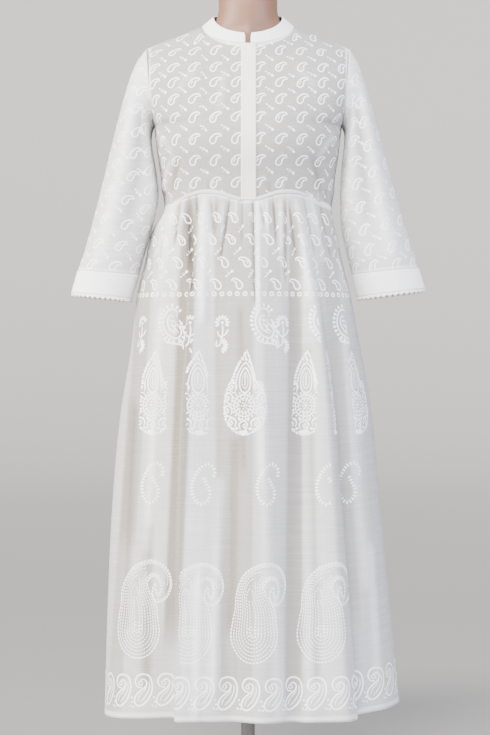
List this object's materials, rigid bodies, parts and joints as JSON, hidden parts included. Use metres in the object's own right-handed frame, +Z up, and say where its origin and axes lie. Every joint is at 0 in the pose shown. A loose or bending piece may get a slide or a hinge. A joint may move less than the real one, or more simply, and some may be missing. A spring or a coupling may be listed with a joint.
{
  "type": "gathered long dress on a dress form",
  "caption": "Long empire-line dress with band collar, placket, wide three-quarter sleeves and gathered skirt, worn by a limbless dress form on a round stand.",
  "frame": {"origin": "the middle of the stand's underside, on the floor", "axes": "+Z up along the stand's pole to the neck, +Y from the dress's front to its back, +X to the viewer's right as the front is faced"},
  "size_m": [0.6344, 0.3979, 1.468],
  "materials": {
    "cloth": "sheer white slub cotton with a white pigment print",
    "plain_cloth": "plain white cotton, two layers",
    "tape": "cream tape with rows of stitching",
    "lace": "white cotton picot edge",
    "form": "smooth skin-coloured shell, satin",
    "stand": "brushed steel, satin"
  },
  "bodies": {
    "root": {"bodice_front_left": "cloth", "bodice_front_right": "cloth", "bodice_back": "cloth", "skirt_front": "cloth", "skirt_back": "cloth", "sleeve_left": "cloth", "sleeve_right": "cloth", "cuff_left": "plain_cloth", "cuff_right": "plain_cloth", "collar": "plain_cloth", "seam_band_left": "plain_cloth", "seam_band_right": "plain_cloth", "placket": "tape", "cuff_lace_left": "lace", "cuff_lace_right": "lace", "form_torso": "form", "stand_pole": "stand", "stand_base": "stand"}
  },
  "joints": []
}
